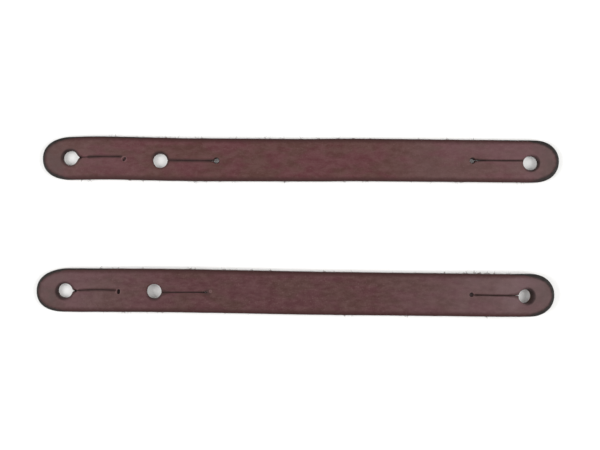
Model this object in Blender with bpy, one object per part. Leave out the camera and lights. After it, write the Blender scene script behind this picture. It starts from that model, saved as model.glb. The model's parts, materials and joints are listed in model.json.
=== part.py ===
"""A pair of leather keyhole hand straps, lying flat side by side.

Each strap is one strip of leather with rounded ends. One end has two keyholes in a row, for two sizes,
and the other end has one. A keyhole is a round hole for a stud's neck, a slit that the stud's head is
pushed through, and a small relief hole that stops the slit from tearing.

The strip bends along its length, so it is divided at its bending lines into short stretches: the
adjusting end lies still, the stretches between rise into an arch over the hand, and the single end
slides in, still flat.
Run with: blender --background --python part.py. Units are metres, +Z up, and the straps lie on Z = 0.
"""

import math

import bmesh
import bpy
from mathutils import Matrix, Vector

# The strip
LENGTH = 0.2286
WIDTH = 0.01905
THICKNESS = 0.003
EDGE_ROUND = 0.0008
EDGE_FACETS = 2
END_REACH = 0.0105
END_SIDES = 28

# The keyholes
KEYHOLE_DIAMETER = 0.00635
RELIEF_DIAMETER = 0.0023
SLIT_WIDTH = 0.0005
NOTCH_WIDTH = 0.0014
NOTCH_LENGTH = 0.0018
KEYHOLE_SIDES = 33
RELIEF_SIDES = 15
CUTTER_HEIGHT = 3 * THICKNESS

# The bending lines, evenly spaced between the first and the last, measured from the strap's middle
FIRST_BEND = -0.0340
LAST_BEND = 0.0730
HAIRLINE = 0.0003

# The pair, each strap turned a little as it was laid down. The shift centres the pair's box on Y = 0,
# since the two straps are not turned alike. A keyhole is the middle of its round hole and the middle of
# its relief hole, measured along the strap and across it.
PAIR_SPACING = 0.0590
PAIR_SHIFT = 0.00015
STAGGER = 0.00125
ROUGHNESS = 0.62
STRAPS = {
    "strap_1": {
        "place": (STAGGER, PAIR_SPACING / 2 + PAIR_SHIFT),
        "yaw": math.radians(-0.45),
        "keyholes": (
            ((-0.1022, -0.0001), (-0.0783, -0.0004)),
            ((-0.0624, -0.0009), (-0.0375, -0.0005)),
            ((0.1014, -0.0006), (0.0760, 0.0001)),
        ),
        "colour": (0.130, 0.064, 0.065),
    },
    "strap_2": {
        "place": (-STAGGER, -PAIR_SPACING / 2 + PAIR_SHIFT),
        "yaw": math.radians(-0.62),
        "keyholes": (
            ((-0.1021, -0.0003), (-0.0783, -0.0005)),
            ((-0.0627, 0.0), (-0.0376, 0.0003)),
            ((0.1026, -0.0006), (0.0784, -0.0006)),
        ),
        "colour": (0.118, 0.058, 0.058),
    },
}

# The stretches of a strap from left to right, and which keyholes are in them. The height of a joint's
# line is that of the bending line on the piece's left: the leather folds about its grain side at the
# feet of the arch and about its flesh side at the crown, so its joints open and never pinch.
PIECES = (
    ("adjusting_end", 0.0, (0, 1)),
    ("left_foot", THICKNESS, ()),
    ("left_flank", THICKNESS, ()),
    ("left_crown", 0.0, ()),
    ("right_crown", 0.0, ()),
    ("right_flank", 0.0, ()),
    ("right_foot", THICKNESS, ()),
    ("single_end", THICKNESS, (2,)),
)
BENDS = len(PIECES) - 1
SPAN = (LAST_BEND - FIRST_BEND) / (BENDS - 1)


def clear_scene():
    for obj in list(bpy.data.objects):
        bpy.data.objects.remove(obj, do_unlink=True)


def new_collection(name):
    collection = bpy.data.collections.new(name)
    bpy.context.scene.collection.children.link(collection)
    return collection


def leather(name, colour):
    material = bpy.data.materials.new(name)
    material.use_nodes = True
    shader = material.node_tree.nodes["Principled BSDF"]
    shader.inputs["Base Color"].default_value = (*colour, 1.0)
    shader.inputs["Roughness"].default_value = ROUGHNESS
    shader.inputs["Metallic"].default_value = 0.0
    return material


def mesh_of_curve(curve, name):
    """The filled curve as one closed mesh, with its caps welded to its sides."""
    guide = bpy.data.objects.new(name + "_outline", curve)
    bpy.context.scene.collection.objects.link(guide)
    bpy.context.view_layer.update()
    evaluated = guide.evaluated_get(bpy.context.evaluated_depsgraph_get())
    mesh = bpy.data.meshes.new_from_object(evaluated)
    mesh.name = name
    bpy.data.objects.remove(guide, do_unlink=True)
    body = bmesh.new()
    body.from_mesh(mesh)
    bmesh.ops.remove_doubles(body, verts=body.verts, dist=1e-6)
    bmesh.ops.recalc_face_normals(body, faces=body.faces)
    body.to_mesh(mesh)
    body.free()
    return mesh


def arc(centre, reach, side, first, last, sides):
    """Points round an ellipse on the X axis, from one angle to another, both ends included."""
    angles = [first + (last - first) * i / sides for i in range(sides + 1)]
    return [(centre + reach * math.cos(a), side * math.sin(a)) for a in angles]


def outline_mesh(name, points, thickness, edge_round=0.0):
    """A flat plate on the outline, centred on Z = 0; its bevel adds edge_round outside the outline."""
    curve = bpy.data.curves.new(name, "CURVE")
    curve.dimensions = "2D"
    curve.fill_mode = "BOTH"
    curve.extrude = thickness / 2 - edge_round
    curve.bevel_depth = edge_round
    curve.bevel_resolution = EDGE_FACETS
    spline = curve.splines.new("POLY")
    spline.points.add(len(points) - 1)
    spline.use_cyclic_u = True
    for point, (x, y) in zip(spline.points, points):
        point.co = (x, y, 0.0, 1.0)
    return mesh_of_curve(curve, name)


def strip_mesh(name):
    """One whole strap with no holes: straight sides and two half-elliptical ends."""
    shoulder = LENGTH / 2 - END_REACH
    reach = END_REACH - EDGE_ROUND
    side = WIDTH / 2 - EDGE_ROUND
    quarter_turn = math.pi / 2
    points = arc(shoulder, reach, side, -quarter_turn, quarter_turn, END_SIDES)
    points += arc(-shoulder, reach, side, quarter_turn, 3 * quarter_turn, END_SIDES)
    return outline_mesh(name, points, THICKNESS, EDGE_ROUND)


def keyhole_mesh(name, length):
    """The cutter for one keyhole: round hole at the origin, then V notch, slit and relief hole along +X."""
    radius = KEYHOLE_DIAMETER / 2
    relief_radius = RELIEF_DIAMETER / 2
    mouth = math.asin(NOTCH_WIDTH / 2 / radius)
    slit_end = math.asin(SLIT_WIDTH / 2 / relief_radius)
    notch_end = radius + NOTCH_LENGTH
    points = arc(0.0, radius, radius, mouth, 2 * math.pi - mouth, KEYHOLE_SIDES)
    points.append((notch_end, -SLIT_WIDTH / 2))
    points += arc(
        length, relief_radius, relief_radius, slit_end - math.pi, math.pi - slit_end, RELIEF_SIDES
    )
    points.append((notch_end, SLIT_WIDTH / 2))
    return outline_mesh(name, points, CUTTER_HEIGHT)


def box_mesh(name, low, high):
    """A box from corner to corner."""
    body = bmesh.new()
    bmesh.ops.create_cube(body, size=1.0)
    size = Vector(high) - Vector(low)
    middle = (Vector(high) + Vector(low)) / 2
    bmesh.ops.transform(
        body, matrix=Matrix.Translation(middle) @ Matrix.Diagonal((*size, 1.0)), verts=body.verts
    )
    mesh = bpy.data.meshes.new(name)
    body.to_mesh(mesh)
    body.free()
    return mesh


def add_cutter(mesh, parent, collection, place=(0, 0, 0), turn=0.0):
    cutter = bpy.data.objects.new(mesh.name, mesh)
    collection.objects.link(cutter)
    cutter.parent = parent
    cutter.location = place
    cutter.rotation_euler.z = turn
    cutter.hide_render = True
    cutter.display_type = "WIRE"
    return cutter


def cut(piece, operation, cutter):
    modifier = piece.modifiers.new(cutter.name, "BOOLEAN")
    modifier.operation = operation
    modifier.solver = "EXACT"
    modifier.object = cutter


def bend_place(number):
    """Where along the strap its bending line of that number is, counted from 1."""
    return FIRST_BEND + (number - 1) * SPAN


def build_strap(name, strap, parts, cutters):
    """One strap: the same strip made once for each stretch, and cut down to that stretch."""
    middle = bpy.data.objects.new(name, None)
    parts.objects.link(middle)
    middle.location = (*strap["place"], 0.0)
    middle.rotation_euler.z = strap["yaw"]
    keyholes = []
    for number, (hole, relief) in enumerate(strap["keyholes"], start=1):
        slit = Vector(relief) - Vector(hole)
        mesh = keyhole_mesh(f"{name}_keyhole_{number}", slit.length)
        place = (*hole, THICKNESS / 2)
        keyholes.append(add_cutter(mesh, middle, cutters, place, math.atan2(slit.y, slit.x)))
    for number, (piece_name, joint_z, holes) in enumerate(PIECES):
        node = f"{name}_{piece_name}"
        start = bend_place(number) if number > 0 else -LENGTH
        end = bend_place(number + 1) if number < BENDS else LENGTH
        joint_x = max(start, -LENGTH / 2)
        mesh = strip_mesh(node)
        mesh.transform(Matrix.Translation((-joint_x, 0, THICKNESS / 2 - joint_z)))
        piece = bpy.data.objects.new(node, mesh)
        parts.objects.link(piece)
        piece.parent = middle
        piece.location = (joint_x, 0, joint_z)
        mesh.materials.append(leather(node + "_leather", strap["colour"]))
        for hole in holes:
            cut(piece, "DIFFERENCE", keyholes[hole])
        low = (start + HAIRLINE / 2, -WIDTH, -THICKNESS)
        high = (end - HAIRLINE / 2, WIDTH, 2 * THICKNESS)
        stretch = add_cutter(box_mesh(node + "_stretch", low, high), middle, cutters)
        cut(piece, "INTERSECT", stretch)


def main():
    clear_scene()
    parts = new_collection("hand_straps")
    cutters = new_collection("cutters")
    for name, strap in STRAPS.items():
        build_strap(name, strap, parts, cutters)


main()
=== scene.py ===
"""The looks of a pair of leather keyhole hand straps, lying side by side on a pale floor.

Each strap is one strip of dyed leather. Its skin is made whole, in the strap's own frame and in
millimetres, and is then divided halfway between its bending lines, so that every piece holds one
bending line between two bodies of the frame.
"""

import json
import math
import random

import bpy
import numpy as np
from mathutils import Matrix, Vector, geometry, kdtree, noise


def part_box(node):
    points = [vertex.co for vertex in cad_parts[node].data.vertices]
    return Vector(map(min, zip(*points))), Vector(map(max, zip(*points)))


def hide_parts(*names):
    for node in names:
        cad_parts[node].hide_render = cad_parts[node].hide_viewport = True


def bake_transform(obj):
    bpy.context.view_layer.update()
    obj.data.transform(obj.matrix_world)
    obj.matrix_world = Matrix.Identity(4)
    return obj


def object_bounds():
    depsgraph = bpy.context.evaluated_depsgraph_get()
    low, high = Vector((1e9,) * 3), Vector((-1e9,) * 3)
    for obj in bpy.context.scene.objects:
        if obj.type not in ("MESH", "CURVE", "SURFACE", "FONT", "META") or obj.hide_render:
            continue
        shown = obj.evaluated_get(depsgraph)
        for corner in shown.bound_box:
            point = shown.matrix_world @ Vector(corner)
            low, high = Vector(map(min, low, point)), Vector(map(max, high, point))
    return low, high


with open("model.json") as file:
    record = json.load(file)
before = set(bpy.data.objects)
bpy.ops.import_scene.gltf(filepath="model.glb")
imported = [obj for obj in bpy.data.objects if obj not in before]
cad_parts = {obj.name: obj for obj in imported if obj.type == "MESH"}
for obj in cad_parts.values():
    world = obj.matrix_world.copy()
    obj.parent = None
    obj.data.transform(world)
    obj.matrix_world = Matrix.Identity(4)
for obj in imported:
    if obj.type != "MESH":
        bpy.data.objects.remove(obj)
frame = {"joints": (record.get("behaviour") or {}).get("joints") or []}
CAD_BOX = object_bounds()

MM = 0.001
BODIES = (
    "adjusting_end", "left_foot", "left_flank", "left_crown",
    "right_crown", "right_flank", "right_foot", "single_end",
)
BENDS = len(BODIES) - 1

# The strip, in millimetres. An end is how far it reaches beyond its shoulder, and how square it is: 2
# for an ellipse. A rounding is how far it reaches in from the edge and how far it falls. The under
# side falls a share of that at the keyholes.
LEFT_END = (13.0, 2.25)
RIGHT_END = (10.5, 2.1)
TOP_ROUND = (1.25, 0.80)
UNDER_ROUND = (0.80, 0.30)
UNDER_SHARE = 0.6
TIP_REACH = 15.0
BEND_REACH = 4.6

# The keyholes. The slit narrows from the hole and flares at the relief hole by two powers. It enters
# a clear relief hole through an opening of twice an angle in radians, and stops a number of radii
# short of a plug's middle. A punch's lean fades out at a reach from the edge, and changes from the
# hole's to the relief hole's between two shares of the way along the slit. Beyond a further reach a
# keyhole leaves no mark.
HOLE_RADIUS = 3.20
HOLE_ROUND = (0.85, 0.65)
RELIEF_RADIUS = 1.05
CLEAR_RELIEF_RADIUS = 1.14
RELIEF_ROUND = (0.42, 0.50)
RELIEF_OPENING = 0.12
LIP_ROUND = (0.32, 0.26)
NOTCH_POWER = 1.3
FLARE_POWER = 10
PLUG_STOP = 1.2
LEAN_REACH = 1.9
LEAN_CHANGE = (0.75, 0.93)
KEYHOLE_REACH = 3.5

# A plug starts to fall at the first share of the relief hole's radius and is down at the second. Its
# crack runs beside its middle. Cracks and nicks end at a multiple of half their width.
PLUG_EDGE = (1.08, 0.86)
CRACK_OFFSET = 0.1
CRACK_SPREAD = 1.4
NICK_SPREAD = 1.6
NICK_DEPTH = 0.9

# How uneven the strip is: each wave's height, its size, and what it adds to the strap's seed
EDGE_WAVES = ((0.05, 6.0, 0.5), (0.03, 1.4, 0.7))
SWELLS = ((0.05, 30.0, 0.0), (0.03, 8.0, 0.2))
TOP_WAVES = ((0.012, 1.9, 0.4),)
UNDER_WAVES = ((0.02, 2.5, 0.9),)
WALL_ROUGHNESS = 0.02
TOP_INSET = 0.03
UNDER_INSET = 0.10

# What the marks on the leather go by, in millimetres. A band is how wide the black line round a tip
# is, and what it gains towards the strip's long sides, up to a share of the half width. FAR is a
# distance past every mark, and the rest shift gives each strap a stretch of the patterns of its own.
LEFT_BAND = (0.54, 0.18)
RIGHT_BAND = (0.80, 0.35)
BAND_CORNER = 0.8
MARK_FADE = 8.0
# Half the width of the slit's dark line away from the keyholes: painted shade with some dye
PLAIN_STAIN_AND_SHADE = 0.3
FAR = 9.0
REST_SHIFT = 40.0

# How finely it is divided, in millimetres
EDGE_RINGS = (0.10, 0.26, 0.48, 0.76, 1.10, 1.50)
HOLE_RINGS = (0.09, 0.22, 0.40, 0.62, 0.88, 1.25)
PLUG_RINGS = (0.0, 0.35, 0.6, 0.8, 0.95, 1.1, 1.3, 1.6)
NOTCH_STEPS = (0.25, 0.55, 0.9, 1.3)
SLIT_START = 1.75
EDGE_STEP = 0.5
HOLE_STEP = 0.33
SLIT_STEP = 0.45
GRID_STEP = 0.8
END_SIDES = 36
RELIEF_SIDES = 18
PLUG_SAMPLES = 60
WALL_LEVELS = 5

# How near points may be: a ring's to another edge and a grid's to its neighbours, as shares of their
# own step, and in millimetres a ring's to a cut, a plug's to an edge and a grid's to an edge
RING_ROOM = 0.96
GRID_ROOM = 0.6
CUT_ROOM = 0.2
PLUG_ROOM = 0.07
EDGE_ROOM = 0.3

# Loose fibres, in millimetres. They root at a least height above the under side and a least depth
# below the top, a little inside the edge, and their marks read as far from every edge.
STRAND_STEPS = 5
STRAND_SIDES = 4
STRAND_CURL = 0.28
STRAND_TAPER = 0.55
TUFT_SIZES = (2, 3, 5, 8, 13)
TUFT_SPREAD = 0.28
ROOT_HEIGHT = 0.6
ROOT_DEPTH = 0.9
ROOT_INSET = 0.06
SHORTEST_FIBRE = 0.35
LONGEST_FIBRE = 1.7
FIBRE_RATE = 2.6
FIBRE_THICKNESS = (0.06, 0.14)
FIBRE_MARK = 3.0

# What sets the two straps apart, in millimetres in each strap's own frame, with the keyholes from left
# to right. Pairs of numbers after bow, lift, end_sheen and stain are stations: a place along
# the strap, or a share of the way along the slit, and the value there.
#   seed: where its random numbers start. wine, umber: the two colours that its dye took.
#   width: its width at its left and right ends, as a share of the usual; tips: how much longer it is.
#   bow: how far it bows sideways.
#   lift: how high the strap stands off the floor. end_sheen: how strong a painted sheen is, which makes
#     the dye look pale and grey, mostly towards the ends.
#   inked: how far black edge paint runs in from both ends along the upper side.
#   hole, relief: the middles of its round hole and its relief hole, along the strap and across it.
#   slit: how far the cut lies across the strap, at its hole and at its relief hole.
#   gap, arch, mouth, notch, flare: half the slit's width, how far it bows, half its width where it
#     opens into the hole, how long that notch is, and what the slit gains at the relief hole.
#   stain: half the width of the dark line that follows the slit, painted shade in the cut
#     with some dark dye.
#   lean: how far the punch leaned over the thickness, along and across, at hole and at relief hole.
#   burnt: how dark the painted shade in the ring round the hole is where it is palest and
#     darkest, and the darkest bearing.
#   nick: how far beyond the hole's edge the slit is nicked deep, and the nick's radius, 0 for none.
#   plug: how deep the punched plug still sits in the relief hole, how deep the crack in it is, the
#     crack's bearing in degrees, half its width as a share of the radius, and the share of the radius
#     at which its rim gets a painted highlight; None where it fell out.
#   frayed: on which side its cut edge sheds fibres, 1 for the upper and -1 for the lower, from where
#     to where, and in how many tufts.
STRAPS = {
    "strap_1": {
        "seed": 11,
        "wine": (0.067, 0.014, 0.018),
        "umber": (0.056, 0.018, 0.014),
        "width": (1.005, 0.980),
        "tips": (0.28, 0.05),
        "bow": ((-114, -0.40), (-88, 0.18), (-48, -0.30), (0, -0.15), (26, 0.18), (114, 0.02)),
        "lift": ((-114, 0.1), (-62, 0.1), (50, 0.1), (114, 0.6)),
        "end_sheen": ((-114, 0.4), (-50, 0.0), (30, 0.0), (70, 0.6), (114, 0.8)),
        "inked": (-64.0, 84.0),
        "keyholes": (
            {"hole": (-102.2, 0.13), "relief": (-78.4, -0.4), "slit": (0.25, 0.65), "gap": 0.03,
             "arch": 0.1, "mouth": 1.05, "notch": 0.85, "flare": 0.0,
             "stain": ((0.0, 1.2), (0.07, 1.1), (0.12, 0.14), (0.18, 0.16), (0.25, 0.80), (1.0, 0.70)),
             "lean": ((-0.08, 0.0), (0.0, 0.0)), "burnt": (0.35, 0.95, 100), "nick": (1.3, 0.35),
             "plug": (0.12, 0.66, 53, 0.50, 1.0)},
            {"hole": (-62.5, -0.7), "relief": (-37.5, -0.4), "slit": (-0.40, -0.50), "gap": 0.03,
             "arch": 0.0, "mouth": 0.20, "notch": 0.6, "flare": 0.20,
             "stain": ((0.0, 1.1), (0.1, 0.86), (0.9, 0.80), (1.0, 0.70)),
             "lean": ((-0.10, -0.05), (0.0, -0.05)), "burnt": (0.0, 1.0, 60), "nick": (1.0, 0.0),
             "plug": None},
            {"hole": (101.65, -0.7), "relief": (76.0, 0.1), "slit": (0.30, 0.25), "gap": 0.035,
             "arch": 0.05, "mouth": 0.12, "notch": 0.5, "flare": 0.34,
             "stain": ((0.0, 0.75), (0.15, 0.55), (0.5, 0.52), (0.85, 0.62), (1.0, 0.95)),
             "lean": ((0.15, -0.06), (-0.10, -0.05)), "burnt": (0.05, 1.0, -25), "nick": (1.0, 0.0),
             "plug": None},
        ),
        "frayed": ((1, -66.0, 97.0, 44), (1, -108.0, -66.0, 6), (-1, -100.0, 100.0, 24)),
    },
    "strap_2": {
        "seed": 29,
        "wine": (0.051, 0.0105, 0.0137),
        "umber": (0.044, 0.0131, 0.0101),
        "width": (1.012, 0.990),
        "tips": (0.57, 0.0),
        "bow": ((-114, -0.40), (-100, 0.10), (-60, 0.42), (22, -0.10), (88, -0.10), (114, 0.26)),
        "lift": ((-114, 0.1), (-96, 0.2), (-60, 1.4), (0, 1.1), (50, 1.1), (114, 2.3)),
        "end_sheen": ((-114, 0.85), (-75, 0.40), (-45, 0.08), (30, 0.08), (60, 0.45), (98, 1.25)),
        "inked": (-80.0, 92.0),
        "keyholes": (
            {"hole": (-102.1, -0.25), "relief": (-78.3, -0.5), "slit": (-0.25, 0.10), "gap": 0.04,
             "arch": 0.35, "mouth": 0.80, "notch": 0.75, "flare": 0.0,
             "stain": ((0.0, 1.3), (0.05, 1.2), (0.10, 0.12), (0.17, 0.72), (0.9, 0.76), (1.0, 0.35)),
             "lean": ((0.05, 0.12), (0.0, 0.0)), "burnt": (0.5, 0.9, 180), "nick": (1.4, 0.5),
             "plug": (0.10, 1.1, 84, 0.55, 1.0)},
            {"hole": (-62.45, -0.35), "relief": (-37.5, 0.1), "slit": (-0.70, -0.40), "gap": 0.03,
             "arch": 0.0, "mouth": 0.12, "notch": 2.2, "flare": 0.30,
             "stain": ((0.0, 1.5), (0.14, 0.7), (0.2, 0.38), (0.84, 0.38), (0.94, 1.2), (1.0, 1.5)),
             "lean": ((-0.20, 0.0), (0.0, 0.0)), "burnt": (0.0, 0.55, -60), "nick": (1.0, 0.0),
             "plug": (0.06, 0.08, 84, 0.4, 0.45)},
            {"hole": (101.75, -0.4), "relief": (77.8, 0.2), "slit": (0.0, 0.15), "gap": 0.05,
             "arch": 0.0, "mouth": 0.16, "notch": 2.6, "flare": 0.10,
             "stain": ((0.0, 1.5), (0.12, 0.9), (0.25, 0.55), (1.0, 0.50)),
             "lean": ((-0.90, 0.05), (0.0, 0.0)), "burnt": (0.0, 1.0, 0), "nick": (1.0, 0.0),
             "plug": (0.62, 0.72, 90, 0.5, 1.0)},
        ),
        "frayed": ((1, 62.0, 97.0, 18), (1, -95.0, 62.0, 20), (-1, -95.0, 100.0, 16)),
    },
}

# The leather's other colours
BLOOM = (0.200, 0.110, 0.108, 1)
PALE_SPECK = (0.320, 0.205, 0.195, 1)
DARK_SPECK = (0.045, 0.016, 0.016, 1)
# A painted sheen, paler and greyer, where light reflected towards the strap's ends
PAINTED_END_SHEEN = (0.135, 0.085, 0.090, 1)
# A painted grey sheen at the tips
PAINTED_TIP_SHEEN = (0.062, 0.038, 0.035, 1)
BURNISHED = (0.031, 0.006, 0.0055, 1)
EDGE_PAINT = (0.008, 0.005, 0.004, 1)
# Painted shade in the rounded rims of the holes and of the clear relief holes
PAINTED_HOLE_SHADE = (0.014, 0.004, 0.004, 1)
# Painted shade along the slit, with some dark dye at the cut
SLIT_STAIN_AND_SHADE = (0.033, 0.011, 0.010, 1)
# Painted shade deep in the slit, right at its lips
PAINTED_LIP_SHADE = (0.012, 0.004, 0.004, 1)
# A painted highlight on a plug's raised rim
PLUG_RIM_HIGHLIGHT = (0.170, 0.095, 0.095, 1)
# Painted shade in a plug's crack and in the nick that starts a slit
PAINTED_PIT_SHADE = (0.010, 0.003, 0.003, 1)
WALL_FIBRES = ((0.030, 0.012, 0.011, 1), (0.085, 0.040, 0.034, 1))
FLESH_NAP = ((0.070, 0.030, 0.026, 1), (0.175, 0.096, 0.080, 1))
PAINTED_WALL = (0.010, 0.007, 0.006, 1)
LOOSE_FIBRE = (0.070, 0.036, 0.031, 1)

# The view, in millimetres from the middle of the frame
VIEW_MIDDLE = (0.8, 0.72)
VIEW_WIDTH = 265.8
LENS = 50.0
SENSOR = 36.0

# The studio, in metres and watts
FLOOR_REACH = 4.0
FLOOR_DROP = 0.0001
FLOOR_COLOUR = (0.82, 0.82, 0.81, 1)
FLOOR_GLOW = 0.03
SURROUND = 0.66
LAMPS = {"left_lamp": (-0.48, -0.04, 0.48), "right_lamp": (0.48, -0.04, 0.48)}
LAMP_SIDE = 0.36
LAMP_WATTS = 2.75


# ---------------------------------------------------------------- the straps' places in the frame


def strap_place(name):
    """Where a strap lies: its matrix to the row frame, and its size and bending lines in millimetres."""
    joints = {joint["name"]: joint for joint in frame["joints"]}
    places = [Vector(joints[f"{name}_bend_{i}"]["pos_m"]) for i in range(1, BENDS + 1)]
    along = places[-1] - places[0]
    along.z = 0.0
    along.normalize()
    low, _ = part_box(f"{name}_{BODIES[0]}")
    _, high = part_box(f"{name}_{BODIES[-1]}")
    middle = places[0] + along * (((low.x + high.x) / 2 - places[0].x) / along.x)
    middle.z = 0.0
    yaw = math.atan2(along.y, along.x)
    low_crown, high_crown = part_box(f"{name}_left_crown")
    size = high_crown - low_crown
    return {
        "matrix": Matrix.Translation(middle) @ Matrix.Rotation(yaw, 4, "Z"),
        "length": (high.x - low.x) / along.x / MM,
        "width": (size.y - size.x * abs(math.tan(yaw))) / MM,
        "thickness": high_crown.z / MM,
        "bends": [(place - middle).dot(along) / MM for place in places],
    }


# ---------------------------------------------------------------- numbers and fields


def smooth(share):
    share = np.clip(share, 0.0, 1.0)
    return share * share * (3 - 2 * share)


def rounding(distance, reach, drop):
    """How far a face falls below its plane near a rounded edge: a quarter of an ellipse."""
    inward = np.clip(1 - distance / reach, 0, 1)
    return drop * (1 - np.sqrt(1 - inward**2))


def eased(x, stations):
    """The value along a line of stations, easing from each one to the next."""
    result = np.full(len(x), float(stations[0][1]))
    for (start, low), (end, high) in zip(stations, stations[1:]):
        result += (high - low) * smooth((x - start) / (end - start))
    return result


def waves(points, seed, sizes):
    """Smooth random waves over the strip: the sum of one field for each height, size and start."""
    result = np.zeros(len(points))
    for height, size, start in sizes:
        result += [height * noise.noise(Vector((x / size, y / size, seed + start))) for x, y in points]
    return result


def tree_of(points):
    tree = kdtree.KDTree(len(points))
    for i, (x, y) in enumerate(points):
        tree.insert((x, y, 0.0), i)
    tree.balance()
    return tree


def distance(tree, x, y):
    return tree.find((x, y, 0.0))[2]


def distances(points, tree):
    return np.array([distance(tree, x, y) for x, y in points])


def resampled(loop, step=0.04):
    """Closely spaced points along a closed loop, and the number of the loop's point before each."""
    found = []
    owners = []
    for i, (a, b) in enumerate(zip(loop, np.roll(loop, -1, axis=0))):
        count = max(1, round(float(np.linalg.norm(b - a)) / step))
        found.append(a + (b - a) * np.arange(count)[:, None] / count)
        owners += [i] * count
    return np.concatenate(found), np.array(owners)


def spread(start, end, step):
    """Evenly spaced numbers from start up to, but not including, end."""
    count = max(2, round(abs(end - start) / step))
    return list(np.linspace(start, end, count, endpoint=False))


def ring(middle, radius, sides):
    turns = np.linspace(0, 2 * math.pi, sides, endpoint=False)
    return np.array([(middle[0] + radius * math.cos(a), middle[1] + radius * math.sin(a)) for a in turns])


# ---------------------------------------------------------------- flat outlines


def outward(loop):
    """Unit normals of a closed anticlockwise loop, pointing out of it."""
    tangent = np.roll(loop, -1, axis=0) - np.roll(loop, 1, axis=0)
    normal = np.stack([tangent[:, 1], -tangent[:, 0]], axis=1)
    return normal / np.linalg.norm(normal, axis=1)[:, None]


def end_arc(shoulder, side, reach, square):
    """A right-hand end from its lower shoulder up to, but not including, its upper one."""
    points = []
    for k in range(END_SIDES):
        turn = math.pi * k / END_SIDES
        x = abs(math.sin(turn)) ** (2 / square)
        y = math.copysign(abs(math.cos(turn)) ** (2 / square), -math.cos(turn))
        points.append((shoulder + reach * x, side * y))
    return points


def strip_outline(place, cuts):
    """The strip's edge, anticlockwise, with a point on both long sides at every cut."""
    half = place["length"] / 2
    side = place["width"] / 2
    stops = [LEFT_END[0] - half, *cuts, half - RIGHT_END[0]]
    points = end_arc(stops[-1], side, *RIGHT_END)
    for right, left in zip(stops[::-1], stops[-2::-1]):
        points += [(x, side) for x in spread(right, left, EDGE_STEP)]
    points += [(-x, -y) for x, y in end_arc(-stops[0], side, *LEFT_END)]
    for left, right in zip(stops, stops[1:]):
        points += [(x, -side) for x in spread(left, right, EDGE_STEP)]
    return np.array(points)


def keyhole_outline(keyhole):
    """A keyhole's edge, anticlockwise, and each point's kind: hole, lip or relief.

    It is drawn along +u from the hole's middle, and turned half round where the slit runs to the left.
    """
    clear = keyhole["plug"] is None
    hole = np.array(keyhole["hole"])
    relief = np.array(keyhole["relief"])
    towards = math.copysign(1.0, relief[0] - hole[0])
    reach, rise = (relief - hole) * towards
    starts, ends = [(y - hole[1]) * towards for y in keyhole["slit"]]
    bearing = math.asin(starts / HOLE_RADIUS)
    opening = math.asin(keyhole["mouth"] / HOLE_RADIUS)
    first = HOLE_RADIUS * math.cos(bearing)
    last = reach - (CLEAR_RELIEF_RADIUS if clear else PLUG_STOP * RELIEF_RADIUS)

    def middle(u):
        share = (u - first) / (last - first)
        return starts + (ends - starts) * share + keyhole["arch"] * math.sin(math.pi * share)

    def gap(u):
        notch = max(0.0, 1.0 - (u - first) / keyhole["notch"])
        flare = keyhole["flare"] * ((u - first) / (last - first)) ** FLARE_POWER
        return keyhole["gap"] + (keyhole["mouth"] - keyhole["gap"]) * notch**NOTCH_POWER + flare

    sides = round(2 * math.pi * HOLE_RADIUS / HOLE_STEP)
    turns = np.linspace(bearing + opening, bearing + 2 * math.pi - opening, sides)
    points = [(HOLE_RADIUS * math.cos(a), HOLE_RADIUS * math.sin(a)) for a in turns]
    kinds = ["hole"] * len(points)
    run = [first + u for u in NOTCH_STEPS]
    run += spread(first + SLIT_START, last - SLIT_STEP / 2, SLIT_STEP)
    points += [(u, middle(u) - gap(u)) for u in run]
    kinds += ["lip"] * len(run)
    if clear:
        radius = CLEAR_RELIEF_RADIUS
        back = math.pi - math.asin((middle(last) - rise) / radius)
        turns = np.linspace(back + RELIEF_OPENING, back + 2 * math.pi - RELIEF_OPENING, RELIEF_SIDES)
        points += [(reach + radius * math.cos(a), rise + radius * math.sin(a)) for a in turns]
        kinds += ["relief"] * RELIEF_SIDES
    else:
        points.append((last, middle(last)))
        kinds.append("lip")
    points += [(u, middle(u) + gap(u)) for u in run[::-1]]
    kinds += ["lip"] * len(run)
    return np.array(points) * towards + hole, kinds


def inside(points, loop):
    """Which points lie inside a closed loop, by counting the edges to their right."""
    result = np.zeros(len(points), bool)
    x, y = points[:, 0], points[:, 1]
    for (ax, ay), (bx, by) in zip(loop, np.roll(loop, -1, axis=0)):
        if ay != by:
            crosses = (ay > y) != (by > y)
            result ^= crosses & (x < (bx - ax) * (y - ay) / (by - ay) + ax)
    return result


# ---------------------------------------------------------------- the flat strip


def kept_edges(loops, cuts, side):
    """The points and edges that the mesh has to keep: every outline, and a row across at each cut."""
    points = []
    edges = []

    def join(chain, closed):
        start = len(points)
        points.extend(tuple(p) for p in chain)
        edges.extend((start + i, start + i + 1) for i in range(len(chain) - 1))
        if closed:
            edges.append((start + len(chain) - 1, start))

    for loop in loops:
        join(loop, True)
    grid = list(np.arange(GRID_STEP / 2, side - EDGE_RINGS[-1] - GRID_STEP / 2, GRID_STEP))
    across = sorted([side - d for d in (0.0, *EDGE_RINGS)] + grid)
    for cut in cuts:
        join([(cut, -y) for y in across[::-1]] + [(cut, y) for y in across], False)
    return points, edges


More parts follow.
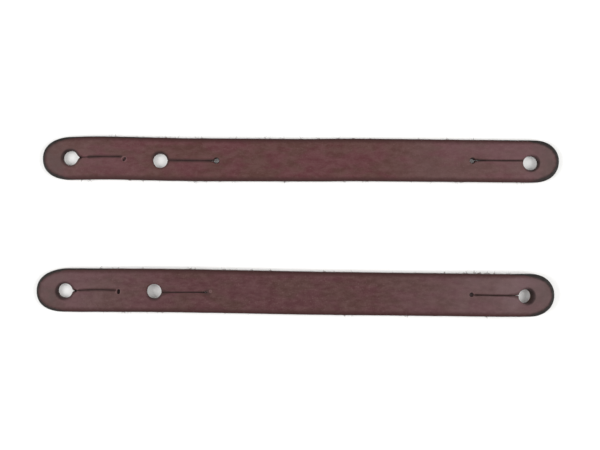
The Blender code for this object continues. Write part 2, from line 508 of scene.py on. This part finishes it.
def ring_points(loops, keyholes, cuts, edge_tree):
    """Rings that follow the edges, where the leather is rounded, and fill the plugs."""
    points = []
    for i, loop in enumerate(loops):
        for step in HOLE_RINGS if i else EDGE_RINGS:
            for x, y in loop + outward(loop) * (step if i else -step):
                off_cuts = min(abs(x - cut) for cut in cuts) > CUT_ROOM
                if off_cuts and distance(edge_tree, x, y) > RING_ROOM * step:
                    points.append((x, y))
    for keyhole in keyholes:
        if keyhole["plug"] is not None:
            for share in PLUG_RINGS:
                for x, y in ring(keyhole["relief"], share * RELIEF_RADIUS, RELIEF_SIDES if share else 1):
                    if distance(edge_tree, x, y) > PLUG_ROOM:
                        points.append((x, y))
    return points


def grid_points(half, side, taken, edge_tree):
    """Staggered rows of points that fill the rest of the strip."""
    points = []
    for i, x in enumerate(np.arange(-half, half, GRID_STEP * math.sqrt(3) / 2)):
        for y in np.arange(-side + (i % 2) * GRID_STEP / 2, side, GRID_STEP):
            if distance(taken, x, y) > GRID_ROOM * GRID_STEP and distance(edge_tree, x, y) > EDGE_ROOM:
                points.append((x, y))
    return points


def flat_strip(place, keyholes):
    """The strip seen from above as points and triangles, with every cut running along edges."""
    bends = place["bends"]
    half = place["length"] / 2
    side = place["width"] / 2
    cuts = [(a + b) / 2 for a, b in zip(bends, bends[1:])]
    loops = [strip_outline(place, cuts)] + [keyhole_outline(keyhole)[0] for keyhole in keyholes]
    edge_tree = tree_of(np.concatenate([resampled(loop)[0] for loop in loops]))
    points, edges = kept_edges(loops, cuts, side)
    points += ring_points(loops, keyholes, cuts, edge_tree)
    points += grid_points(half, side, tree_of(points), edge_tree)
    flat = [Vector((float(x), float(y))) for x, y in points]
    vertices, _, faces, *_ = geometry.delaunay_2d_cdt(flat, edges, [], 0, 1e-6, False)
    vertices = np.array([tuple(v) for v in vertices])
    faces = np.array([tuple(f) for f in faces])
    middles = vertices[faces].mean(axis=1)
    solid = inside(middles, loops[0])
    for loop in loops[1:]:
        solid &= ~inside(middles, loop)
    faces = faces[solid]
    corners = vertices[faces]
    a, b = corners[:, 1] - corners[:, 0], corners[:, 2] - corners[:, 0]
    clockwise = a[:, 0] * b[:, 1] - a[:, 1] * b[:, 0] < 0
    faces[clockwise] = faces[clockwise][:, ::-1]
    used, faces = np.unique(faces, return_inverse=True)
    return vertices[used], faces.reshape(-1, 3), cuts


# ---------------------------------------------------------------- keyholes on the flat strip


def edge_facts(place, keyholes, flat):
    """How far each flat point is from every kind of edge, and from each keyhole."""
    kinds = {"hole": [], "lip": [], "relief": [], "plug": []}
    own = []
    for keyhole in keyholes:
        loop, names = keyhole_outline(keyhole)
        samples, owners = resampled(loop)
        for name in set(names):
            kinds[name].append(samples[[names[i] == name for i in owners]])
        if keyhole["plug"] is not None:
            kinds["plug"].append(ring(keyhole["relief"], keyhole["plug"][4] * RELIEF_RADIUS, PLUG_SAMPLES))
        own.append(distances(flat, tree_of(samples)))
    outline, _ = resampled(strip_outline(place, []))
    facts = {"rim": distances(flat, tree_of(outline))}
    for name, groups in kinds.items():
        facts[name] = distances(flat, tree_of(np.concatenate(groups))) if groups else np.full(len(flat), FAR)
    return facts, own


def along_slit(keyhole, flat):
    """Each flat point's place along a keyhole: 0 at its round hole's middle and 1 at its relief hole's."""
    hole, relief = np.array(keyhole["hole"]), np.array(keyhole["relief"])
    return (flat - hole) @ (relief - hole) / ((relief - hole) @ (relief - hole))


def plug_depth(keyhole, flat):
    """How far the top falls where the punched plug still sits in the relief hole."""
    if keyhole["plug"] is None:
        return np.zeros(len(flat))
    sunk, crack, bearing, width, _ = keyhole["plug"]
    offset = (flat - np.array(keyhole["relief"])) / RELIEF_RADIUS
    start, end = PLUG_EDGE
    inward = smooth((start - np.linalg.norm(offset, axis=1)) / (start - end))
    bearing = math.radians(bearing)
    beside = offset @ np.array((math.sin(bearing), -math.cos(bearing))) - CRACK_OFFSET
    return inward * (sunk + (crack - sunk) * smooth(CRACK_SPREAD - np.abs(beside) / width))


def nick_depth(keyhole, flat):
    """How far the top falls at the nick that starts the slit."""
    beyond, radius = keyhole["nick"]
    if radius == 0:
        return np.zeros(len(flat))
    way = math.copysign(1.0, keyhole["relief"][0] - keyhole["hole"][0])
    middle = np.array((keyhole["hole"][0] + way * (HOLE_RADIUS + beyond), keyhole["slit"][0]))
    return NICK_DEPTH * smooth(NICK_SPREAD - np.linalg.norm(flat - middle, axis=1) / radius)


def ring_shade_side(keyhole, flat):
    """How dark the painted shade in the ring round the hole is on the side each flat point lies."""
    palest, darkest, bearing = keyhole["burnt"]
    offset = flat - np.array(keyhole["hole"])
    turn = np.arctan2(offset[:, 1], offset[:, 0]) - math.radians(bearing)
    return palest + (darkest - palest) * smooth(0.5 + 0.5 * np.cos(turn))


def stain_and_shade_width(keyhole, flat):
    """Half the width of the dark line along the slit, painted shade with some dye, beside each flat point.
    """
    first = HOLE_RADIUS / np.linalg.norm(np.subtract(keyhole["relief"], keyhole["hole"]))
    return eased((along_slit(keyhole, flat) - first) / (1 - first), keyhole["stain"])


# ---------------------------------------------------------------- the strip's skin


def fall(facts, rim, share):
    """How far a face falls at its rounded edges: at the rim, and a share of the rounding at keyholes."""
    falls = [rounding(facts["rim"], *rim)]
    for kind, (reach, drop) in {"hole": HOLE_ROUND, "lip": LIP_ROUND, "relief": RELIEF_ROUND}.items():
        falls.append(rounding(facts[kind], reach, share * drop))
    return np.max(falls, axis=0)


def top_plan(place, look, flat):
    """The top seen from above, with the strip's own width, length, bow and wavy cut edge."""
    half = place["length"] / 2
    side = place["width"] / 2
    share = (flat[:, 0] / half + 1) / 2
    wide = look["width"][0] + (look["width"][1] - look["width"][0]) * share
    edge = np.sign(flat[:, 1]) * smooth(np.abs(flat[:, 1]) / side * 2 - 1)
    top = flat.copy()
    top[:, 1] = flat[:, 1] * wide + eased(flat[:, 0], look["bow"])
    top[:, 1] += edge * waves(flat * (1, 0), look["seed"], EDGE_WAVES)
    longer = np.where(flat[:, 0] < 0, -look["tips"][0], look["tips"][1])
    top[:, 0] += longer * smooth(1 - (half - np.abs(flat[:, 0])) / TIP_REACH)
    return top


def under_plan(keyholes, own, flat, top):
    """The under side seen from above: the top, moved round each keyhole as its punch leaned."""
    under = top.copy()
    start, end = LEAN_CHANGE
    for keyhole, away in zip(keyholes, own):
        leans = np.array(keyhole["lean"])
        share = smooth((along_slit(keyhole, flat) - start) / (end - start))[:, None]
        under += (leans[0] + (leans[1] - leans[0]) * share) * smooth(1 - away / LEAN_REACH)[:, None]
    return under


def point_marks(place, look, flat, facts, own, depth):
    """What each flat point tells the material: its distances from edges, and how it is marked there."""
    x, y = flat[:, 0], flat[:, 1]
    tip = smooth((np.abs(x) - (place["length"] / 2 - TIP_REACH)) / MARK_FADE)
    left_ink, right_ink = look["inked"]
    inked = smooth(np.maximum(left_ink - x, x - right_ink) / MARK_FADE) * (y > 0)
    corner = smooth(np.abs(y) / (place["width"] / 2) / BAND_CORNER)
    left_band = LEFT_BAND[0] + LEFT_BAND[1] * corner
    right_band = RIGHT_BAND[0] + RIGHT_BAND[1] * corner
    stain = np.full(len(flat), PLAIN_STAIN_AND_SHADE)
    burnt = np.zeros(len(flat))
    for keyhole, away in zip(look["keyholes"], own):
        stain = np.where(away < KEYHOLE_REACH, stain_and_shade_width(keyhole, flat), stain)
        burnt = np.where(away < KEYHOLE_REACH, ring_shade_side(keyhole, flat), burnt)
    return {
        **facts, "pit": depth, "stain": stain, "burnt": burnt, "tip": tip, "ink": np.maximum(tip, inked),
        "band": tip * np.where(x < 0, left_band, right_band), "end_sheen": eased(x, look["end_sheen"]),
    }


def wall_points(upper, lower, seed):
    """Points down the walls, between the top's edge and the under side's, a little rough."""
    levels = np.arange(1, WALL_LEVELS) / WALL_LEVELS
    walls = upper[:, None] + (lower - upper)[:, None] * levels[None, :, None]
    rough = np.random.default_rng(seed).normal(0, WALL_ROUGHNESS, walls.shape[:2])
    walls[:, :, 1] += rough * np.sign(walls[:, :, 1])
    return walls.reshape(-1, 3), levels


def skin(place, look):
    """The whole surface of one strap: its points, faces, normals and what its material needs to know."""
    keyholes = look["keyholes"]
    seed = look["seed"]
    flat, faces, cuts = flat_strip(place, keyholes)
    facts, own = edge_facts(place, keyholes, flat)
    count = len(flat)
    depths = [deep(keyhole, flat) for keyhole in keyholes for deep in (plug_depth, nick_depth)]
    depth = np.max(depths, axis=0)
    top = top_plan(place, look, flat)
    under = under_plan(keyholes, own, flat, top)
    swell = waves(flat, seed, SWELLS) + eased(flat[:, 0], look["lift"])
    top_z = place["thickness"] - TOP_INSET + swell + waves(flat, seed, TOP_WAVES)
    top_z -= np.maximum(fall(facts, TOP_ROUND, 1.0), depth)
    under_z = UNDER_INSET + swell + waves(flat, seed, UNDER_WAVES) + fall(facts, UNDER_ROUND, UNDER_SHARE)
    above = np.column_stack([top, top_z])
    below = np.column_stack([under, under_z])

    # The walls run down from the boundary edges of the top
    directed = {(int(a), int(b)) for f in faces for a, b in zip(f, np.roll(f, -1))}
    border = sorted((a, b) for a, b in directed if (b, a) not in directed)
    on_border = sorted({a for a, _ in border})
    number = {v: i for i, v in enumerate(on_border)}
    walls, levels = wall_points(above[on_border], below[on_border], seed)

    def wall(v, level):
        """The number of the point below a top point of the border, from 0 at the top."""
        if level == 0:
            return v
        if level == WALL_LEVELS:
            return v + count
        return 2 * count + number[v] * (WALL_LEVELS - 1) + level - 1

    quads = [
        (wall(b, k), wall(a, k), wall(a, k + 1), wall(b, k + 1))
        for a, b in border for k in range(WALL_LEVELS)
    ]
    wall_x = [flat[[a, b], 0].mean() for a, b in border for k in range(WALL_LEVELS)]
    middle_x = flat[faces][:, :, 0].mean(axis=1)
    all_faces = [tuple(f) for f in faces] + [tuple(f) for f in faces[:, ::-1] + count] + quads
    points = np.concatenate([above, below, walls])

    # The under side and the walls carry the marks of the top point above them
    source = np.concatenate([np.arange(count), np.arange(count), np.repeat(on_border, len(levels))])
    known = point_marks(place, look, flat, facts, own, depth)
    marks = {name: values[source] for name, values in known.items()}
    marks["flesh"] = np.concatenate([np.zeros(count), np.ones(count), np.tile(levels, len(on_border))])
    rows = {}
    for cut in cuts:
        row = [int(v) for v in np.flatnonzero(np.abs(flat[:, 0] - cut) < 1e-4)]
        rows[cut] = sorted(row, key=lambda v: flat[v, 1])
    return {
        "points": points,
        "rest": points + (0.0, REST_SHIFT * seed, 0.0),
        "marks": marks,
        "faces": all_faces,
        "face_x": np.concatenate([middle_x, middle_x, wall_x]),
        "normals": vertex_normals(points, all_faces),
        "cuts": cuts,
        "rows": rows,
        "wall": wall,
        "count": count,
    }


def vertex_normals(points, faces):
    """Smooth normals of a closed mesh of triangles and quads, each face counting by its area."""
    normals = np.zeros_like(points)
    for size in (3, 4):
        some = np.array([f for f in faces if len(f) == size])
        if size == 3:
            a, b = points[some[:, 1]] - points[some[:, 0]], points[some[:, 2]] - points[some[:, 0]]
        else:
            a, b = points[some[:, 2]] - points[some[:, 0]], points[some[:, 3]] - points[some[:, 1]]
        across = np.cross(a, b)
        for corner in range(size):
            np.add.at(normals, some[:, corner], across)
    return normals / np.linalg.norm(normals, axis=1)[:, None]


def cap(whole, cut):
    """The cross-section at a cut, anticlockwise seen from the right."""
    row = whole["rows"][cut]
    count = whole["count"]
    wall = whole["wall"]
    up = [wall(row[-1], k) for k in range(WALL_LEVELS - 1, 0, -1)]
    down = [wall(row[0], k) for k in range(1, WALL_LEVELS)]
    return [v + count for v in row] + up + row[::-1] + down


# ---------------------------------------------------------------- loose fibres


def strand(rng, root, heading, length, thickness):
    """A curling fibre as a closed tube: its points and faces."""
    sides = STRAND_SIDES
    points = []
    place = Vector(root)
    heading = Vector(heading).normalized()
    curl = Vector((rng.gauss(0, 1), rng.gauss(0, 1), rng.gauss(0, 0.6))) * STRAND_CURL
    for k in range(STRAND_STEPS + 1):
        a = heading.orthogonal().normalized()
        b = heading.cross(a)
        radius = thickness / 2 * (1 - STRAND_TAPER * k / STRAND_STEPS)
        for s in range(sides):
            turn = 2 * math.pi * s / sides
            points.append(place + a * (radius * math.cos(turn)) + b * (radius * math.sin(turn)))
        place = place + heading * (length / STRAND_STEPS)
        heading = (heading + curl).normalized()
    faces = [tuple(range(sides))[::-1], tuple(STRAND_STEPS * sides + s for s in range(sides))]
    for k in range(STRAND_STEPS):
        for s in range(sides):
            low, high = k * sides + s, k * sides + (s + 1) % sides
            faces.append((low, high, high + sides, low + sides))
    return points, faces


def fibres(look, place, whole):
    """The tufts along one strap's cut edges: a list of (points, faces)."""
    rng = random.Random(look["seed"])
    edge = {}
    for v, (x, y, _) in enumerate(whole["points"][: whole["count"]]):
        if whole["marks"]["rim"][v] < 1e-3:
            edge.setdefault(y > 0, []).append((x, y))
    found = []
    for way, start, end, tufts in look["frayed"]:
        line = np.array(sorted(edge[way > 0]))
        for _ in range(tufts):
            x = rng.uniform(start, end)
            y = float(np.interp(x, line[:, 0], line[:, 1]))
            base = float(eased(np.array([x]), look["lift"])[0])
            for _ in range(rng.choice(TUFT_SIZES)):
                height = base + rng.uniform(ROOT_HEIGHT, place["thickness"] - ROOT_DEPTH)
                root = (x + rng.gauss(0, TUFT_SPREAD), y - way * ROOT_INSET, height)
                heading = (rng.gauss(0, 0.8), way, rng.gauss(0.1, 0.35))
                length = min(LONGEST_FIBRE, SHORTEST_FIBRE + rng.expovariate(FIBRE_RATE))
                found.append(strand(rng, root, heading, length, rng.uniform(*FIBRE_THICKNESS)))
    return found


# ---------------------------------------------------------------- materials


class Nodes:
    """Short names for building a material's nodes."""

    def __init__(self, tree):
        tree.nodes.clear()
        self.tree = tree

    def add(self, kind, inputs, **settings):
        node = self.tree.nodes.new(kind)
        for name, value in settings.items():
            setattr(node, name, value)
        for socket, value in inputs.items():
            if isinstance(value, bpy.types.NodeSocket):
                self.tree.links.new(value, node.inputs[socket])
            else:
                node.inputs[socket].default_value = value
        return node

    def mark(self, name, output="Fac"):
        return self.add("ShaderNodeAttribute", {}, attribute_name=name).outputs[output]

    def math(self, operation, *values):
        return self.add("ShaderNodeMath", dict(enumerate(values)), operation=operation).outputs[0]

    def times(self, *values):
        return self.math("MULTIPLY", *values)

    def span(self, value, low, high, start=0.0, end=1.0):
        """start below low, end above high, and smooth between them."""
        inputs = {"Value": value, "From Min": low, "From Max": high, "To Min": start, "To Max": end}
        return self.add("ShaderNodeMapRange", inputs, interpolation_type="SMOOTHSTEP").outputs[0]

    def noise(self, place, scale, detail=2.0, roughness=0.5, distortion=0.0):
        inputs = {"Vector": place, "Scale": scale, "Detail": detail, "Roughness": roughness,
                  "Distortion": distortion}
        return self.add("ShaderNodeTexNoise", inputs).outputs["Fac"]

    def cells(self, place, scale, feature):
        """Distances in a field of cells: to their middles for F1, or to their edges."""
        inputs = {"Vector": place, "Scale": scale, "Randomness": 1.0}
        return self.add("ShaderNodeTexVoronoi", inputs, feature=feature).outputs["Distance"]

    def stretched(self, place, factors):
        return self.add("ShaderNodeVectorMath", {0: place, 1: factors}, operation="MULTIPLY").outputs[0]

    def mix(self, factor, first, second):
        inputs = {0: factor, 6: first, 7: second}
        return self.add("ShaderNodeMix", inputs, data_type="RGBA").outputs[2]

    def mix_numbers(self, factor, first, second):
        inputs = {0: factor, 2: first, 3: second}
        return self.add("ShaderNodeMix", inputs, data_type="FLOAT").outputs[0]


def grain_colour(n, rest, wine, umber):
    """The dye took unevenly, in soft patches and fine specks; a painted sheen greys it towards the ends and
    tips.
    """
    along = n.stretched(rest, (0.5, 1.0, 1.0))
    patches = n.span(n.noise(along, scale=0.13, detail=3.0, roughness=0.6), 0.40, 0.60)
    colour = n.mix(patches, (*wine, 1), (*umber, 1))
    cloud = n.span(n.noise(along, scale=0.48, detail=4.0, roughness=0.6), 0.30, 0.70)
    colour = n.mix(n.times(cloud, 0.16), colour, BLOOM)
    specks = n.span(n.noise(rest, scale=2.3, detail=3.0, roughness=0.65), 0.56, 0.74)
    colour = n.mix(n.times(specks, 0.19), colour, PALE_SPECK)
    dark = n.noise(rest, scale=1.7, detail=3.0, roughness=0.6, distortion=0.4)
    colour = n.mix(n.times(n.span(dark, 0.30, 0.44, 1.0, 0.0), 0.21), colour, DARK_SPECK)
    # Painted sheen: paler and greyer leather, mostly towards the ends
    end_sheen_share = n.times(n.mark("end_sheen"), n.span(n.noise(rest, scale=0.07), 0.35, 0.60, 0.28, 0.46))
    colour = n.mix(end_sheen_share, colour, PAINTED_END_SHEEN)
    # Painted grey sheen at the tips
    tip_sheen = n.times(n.mark("tip"), n.span(n.noise(rest, scale=0.16), 0.35, 0.65, 0.2, 0.7))
    return n.mix(tip_sheen, colour, PAINTED_TIP_SHEEN)


def edge_colour(n, rim, ink, colour):
    """Burnished edges, black where they were inked, with a wider black line round the tips."""
    colour = n.mix(n.span(rim, 0.6, 2.6, 0.92, 0.0), colour, BURNISHED)
    black = n.math("DIVIDE", rim, n.math("ADD", n.mark("band"), 0.45))
    black = n.times(n.span(black, 0.7, 1.5, 1.0, 0.0), n.math("MULTIPLY_ADD", ink, 0.85, 0.15))
    return n.mix(black, colour, EDGE_PAINT)


def keyhole_colour(n, rest, colour):
    """Painted shade round holes, relief holes, slits, cracks and nicks, some dye along slits, and a painted
    plug-rim highlight.
    """
    # Painted shade in each hole's rounded rim, darker on one side, and in each clear relief hole's rim
    hole_ring_shade = n.times(n.span(n.mark("hole"), 0.55, 1.35, 1.0, 0.0),
                        n.span(n.noise(rest, scale=0.3), 0.35, 0.6, 0.8, 1.0))
    colour = n.mix(n.times(hole_ring_shade, n.mark("burnt")), colour, PAINTED_HOLE_SHADE)
    colour = n.mix(n.span(n.mark("relief"), 0.10, 0.50, 0.9, 0.0), colour, PAINTED_HOLE_SHADE)
    lip = n.mark("lip")
    # The dark line along each slit: painted shade in the cut, with some dark dye
    line = n.span(n.math("DIVIDE", lip, n.mark("stain")), 0.35, 1.45, 1.0, 0.0)
    line = n.times(n.span(n.noise(rest, scale=0.22), 0.35, 0.6, 0.75, 1.0), line)
    colour = n.mix(line, colour, SLIT_STAIN_AND_SHADE)
    # Painted shade deep in the slit, right at its lips
    colour = n.mix(n.span(lip, 0.05, 0.25, 0.35, 0.0), colour, PAINTED_LIP_SHADE)
    # Painted highlight on a plug's raised rim
    rim_highlight = n.times(n.span(n.mark("plug"), 0.05, 0.40, 0.5, 0.0), n.span(lip, 0.2, 0.5))
    colour = n.mix(rim_highlight, colour, PLUG_RIM_HIGHLIGHT)
    # Painted shade in the deep crack of a plug and the nick that starts a slit
    return n.mix(n.span(n.mark("pit"), 0.20, 0.75), colour, PAINTED_PIT_SHADE)


def grain_height(n, rest):
    """Pebbled grain with hair pores."""
    pebbles = n.span(n.cells(rest, 1.9, "DISTANCE_TO_EDGE"), 0.0, 0.22)
    pores = n.span(n.cells(rest, 0.85, "F1"), 0.05, 0.16)
    height = n.math("ADD", n.times(pebbles, 0.45), n.times(pores, 0.5))
    return n.math("ADD", height, n.noise(rest, scale=4.5, detail=4.0, roughness=0.6))


def leather(name, wine, umber):
    """Dyed strap leather: a fine matt grain on top, burnished dark edges, and a rough flesh side below."""
    material = bpy.data.materials.new(name)
    material.use_nodes = True
    n = Nodes(material.node_tree)
    rest = n.mark("rest", "Vector")
    flesh = n.mark("flesh")
    below = n.span(flesh, 0.80, 1.0)
    wall = n.times(n.span(flesh, 0.0, 0.25), n.span(flesh, 0.80, 1.0, 1.0, 0.0))
    rough_side = n.math("MAXIMUM", below, wall)
    ink = n.mark("ink")
    worn = n.times(n.math("SUBTRACT", n.noise(rest, scale=0.9, detail=3.0), 0.5), 0.9)
    rim = n.math("ADD", n.mark("rim"), worn)
    colour = grain_colour(n, rest, wine, umber)
    colour = edge_colour(n, rim, ink, colour)
    colour = keyhole_colour(n, rest, colour)

    # Cut walls show the fibres in layers, and the flesh side is a napped tangle of them
    layers = n.noise(n.stretched(rest, (0.5, 0.5, 5.0)), scale=1.0, detail=4.0, roughness=0.6)
    nap = n.noise(rest, scale=1.6, detail=5.0, roughness=0.7, distortion=1.2)
    wall_colour = n.mix(n.span(layers, 0.35, 0.65), *WALL_FIBRES)
    wall_colour = n.mix(n.times(ink, 0.85), wall_colour, PAINTED_WALL)
    colour = n.mix(wall, colour, wall_colour)
    colour = n.mix(below, colour, n.mix(n.span(nap, 0.32, 0.68), *FLESH_NAP))
    colour = n.mix(n.mark("fibre"), colour, LOOSE_FIBRE)

    # The grain side has a dull gloss, more of it at the burnished edges and none on rough sides
    roughness = n.span(n.noise(rest, scale=0.6, detail=3.0), 0.3, 0.7, 0.58, 0.72)
    roughness = n.math("SUBTRACT", roughness, n.span(rim, 0.2, 1.5, 0.14, 0.0))
    roughness = n.math("ADD", roughness, n.times(rough_side, 0.22))
    fibre_height = n.math("ADD", n.times(nap, 3.0), n.times(layers, wall))
    height = n.mix_numbers(rough_side, grain_height(n, rest), fibre_height)
    bump = n.add("ShaderNodeBump", {"Strength": 0.6, "Distance": 0.00007, "Height": height})
    shader = n.add("ShaderNodeBsdfPrincipled", {
        "Base Color": colour, "Roughness": roughness, "Normal": bump.outputs[0],
        "Specular IOR Level": 0.25, "Sheen Weight": 0.03, "Sheen Roughness": 0.5,
    })
    n.add("ShaderNodeOutputMaterial", {"Surface": shader.outputs[0]})
    return material


# ---------------------------------------------------------------- pieces


def build_strap(name, look):
    place = strap_place(name)
    whole = skin(place, look)
    material = leather(f"{name}_leather", look["wine"], look["umber"])
    strands = fibres(look, place, whole)
    cuts = [-math.inf, *whole["cuts"], math.inf]
    for i, bend in enumerate(place["bends"]):
        obj = piece(f"{name}_leather_{i + 1}", place, whole, cuts[i : i + 2], strands, material)
        ends = [place["matrix"] @ Vector((x * MM, 0, 0)) for x in (bend - BEND_REACH, bend + BEND_REACH)]
        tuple(ends[0])
        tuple(ends[1])
        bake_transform(obj)
        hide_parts(f"{name}_{BODIES[i]}")
        if i == BENDS - 1:
            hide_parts(f"{name}_{BODIES[-1]}")


def piece(name, place, whole, limits, strands, material):
    """One stretch of a strap between two cuts, closed by a cap at each, with its loose fibres."""
    left, right = limits
    chosen = [f for f, x in zip(whole["faces"], whole["face_x"]) if left < x < right]
    caps = []
    if left > -math.inf:
        caps.append(cap(whole, left)[::-1])
    if right < math.inf:
        caps.append(cap(whole, right))
    used = sorted({v for f in chosen for v in f})
    renumber = {v: i for i, v in enumerate(used)}
    faces = [tuple(renumber[v] for v in f) for f in chosen + caps]
    points = [tuple(p) for p in whole["points"][used]]
    rest = [tuple(p) for p in whole["rest"][used]]
    normals = [tuple(whole["normals"][v]) for f in chosen for v in f] + [(0, 0, 0)] * sum(map(len, caps))
    marks = {key: list(values[used]) for key, values in whole["marks"].items()}
    marks["fibre"] = [0.0] * len(used)
    for tube, tube_faces in strands:
        if left < tube[0].x < right:
            start = len(points)
            points += [tuple(p) for p in tube]
            rest += [tuple(p) for p in tube]
            faces += [tuple(v + start for v in f) for f in tube_faces]
            normals += [(0, 0, 0)] * sum(map(len, tube_faces))
            for key in marks:
                marks[key] += [1.0 if key in ("fibre", "flesh") else FIBRE_MARK] * len(tube)
    mesh = bpy.data.meshes.new(name)
    mesh.from_pydata([place["matrix"] @ (Vector(p) * MM) for p in points], [], faces)
    smooth_faces = np.ones(len(faces), bool)
    smooth_faces[len(chosen) : len(chosen) + len(caps)] = False
    mesh.polygons.foreach_set("use_smooth", smooth_faces)
    turn = np.array(place["matrix"].to_3x3())
    mesh.normals_split_custom_set([tuple(row) for row in np.array(normals) @ turn.T])
    for key, values in marks.items():
        mesh.attributes.new(key, "FLOAT", "POINT").data.foreach_set("value", np.array(values, np.float32))
    mesh.attributes.new("rest", "FLOAT_VECTOR", "POINT").data.foreach_set(
        "vector", np.array(rest, np.float32).ravel())
    mesh.materials.append(material)
    obj = bpy.data.objects.new(name, mesh)
    bpy.context.scene.collection.objects.link(obj)
    return obj


# ---------------------------------------------------------------- stage, light and camera


def build_floor():
    mesh = bpy.data.meshes.new("floor")
    corners = [(-1, -1), (1, -1), (1, 1), (-1, 1)]
    points = [(x * FLOOR_REACH, y * FLOOR_REACH, -FLOOR_DROP) for x, y in corners]
    mesh.from_pydata(points, [], [(0, 1, 2, 3)])
    material = bpy.data.materials.new("floor")
    material.use_nodes = True
    n = Nodes(material.node_tree)
    shader = n.add("ShaderNodeBsdfPrincipled", {
        "Base Color": FLOOR_COLOUR, "Roughness": 0.9, "Specular IOR Level": 0.1,
        "Emission Color": (1, 1, 1, 1), "Emission Strength": FLOOR_GLOW,
    })
    n.add("ShaderNodeOutputMaterial", {"Surface": shader.outputs[0]})
    mesh.materials.append(material)
    floor = bpy.data.objects.new("floor", mesh)
    bpy.context.scene.collection.objects.link(floor)


def add_lamp(name, place):
    """A square soft lamp that faces the middle of the floor."""
    light = bpy.data.lights.new(name, "AREA")
    light.shape = "RECTANGLE"
    light.size = LAMP_SIDE
    light.size_y = LAMP_SIDE
    light.energy = LAMP_WATTS
    obj = bpy.data.objects.new(name, light)
    obj.location = place
    obj.rotation_euler = Vector(place).to_track_quat("Z", "Y").to_euler()
    bpy.context.scene.collection.objects.link(obj)


def build_light():
    """A white surround, and a soft lamp to the left and to the right."""
    world = bpy.data.worlds.new("studio")
    world.use_nodes = True
    n = Nodes(world.node_tree)
    sky = n.add("ShaderNodeBackground", {"Color": (1, 1, 1, 1), "Strength": SURROUND})
    n.add("ShaderNodeOutputWorld", {"Surface": sky.outputs[0]})
    bpy.context.scene.world = world
    for name, place in LAMPS.items():
        add_lamp(name, place)
    bpy.context.scene.view_settings.view_transform = "Standard"


def build_camera():
    """A camera straight above the pair."""
    camera = bpy.data.cameras.new("camera")
    camera.lens = LENS
    camera.sensor_width = SENSOR
    obj = bpy.data.objects.new("camera", camera)
    _, high = CAD_BOX
    obj.location = (VIEW_MIDDLE[0] * MM, VIEW_MIDDLE[1] * MM, high.z + VIEW_WIDTH * MM * LENS / SENSOR)
    bpy.context.scene.collection.objects.link(obj)
    bpy.context.scene.camera = obj


for strap_name, strap_look in STRAPS.items():
    build_strap(strap_name, strap_look)
build_floor()
build_light()
build_camera()
